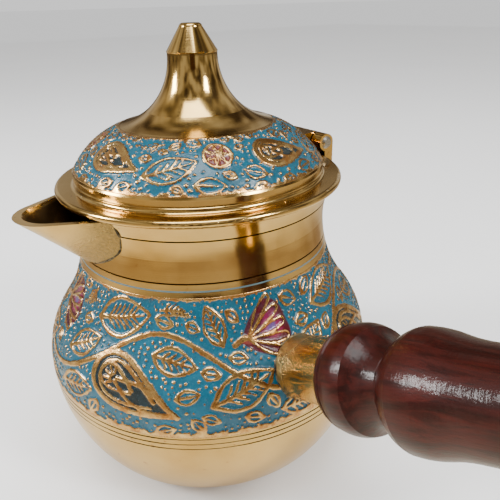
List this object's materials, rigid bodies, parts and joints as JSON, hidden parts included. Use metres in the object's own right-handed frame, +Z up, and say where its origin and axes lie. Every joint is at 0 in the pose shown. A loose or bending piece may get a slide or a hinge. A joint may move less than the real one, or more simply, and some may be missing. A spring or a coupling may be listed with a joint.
{
  "type": "turkish coffee pot",
  "caption": "Bulbous brass coffee pot with a pinched spout, coloured enamel relief bands, a hinged domed lid with a turned finial, and a long turned wooden side handle.",
  "frame": {"origin": "centre of the pot's flat base, on the surface it stands on", "axes": "+Z up along the pot's axis; +X towards the handle, whose axis lies in the XZ plane; -Y towards the spout, +Y towards the lid hinge"},
  "size_m": [0.2159, 0.101, 0.1256],
  "materials": {
    "brass": "polished, with fine turning lines",
    "enamel": "glossy coloured enamel between raised brass lines",
    "wood": "dark red-brown gloss lacquer",
    "steel": "plain"
  },
  "bodies": {
    "pot": {"pot_body": "brass", "belly_enamel": "enamel", "neck_enamel_line": "enamel", "spout": "brass", "handle_boss": "brass", "handle_stud": "steel", "handle_grip": "wood", "handle_end_washer": "brass", "handle_end_nut": "brass", "hinge_bracket": "brass", "hinge_pin": "steel"},
    "lid": {"lid_dome": "brass", "lid_enamel": "enamel", "lid_collar": "brass", "finial": "brass", "finial_washer": "brass", "finial_nut": "brass", "hinge_lug": "brass"}
  },
  "joints": [
    {"name": "lid_hinge", "type": "hinge", "parent": "pot", "child": "lid", "pos_m": [0, 0.0416, 0.0894], "axis": [-1, 0, 0], "range_deg": [0, 110]}
  ]
}
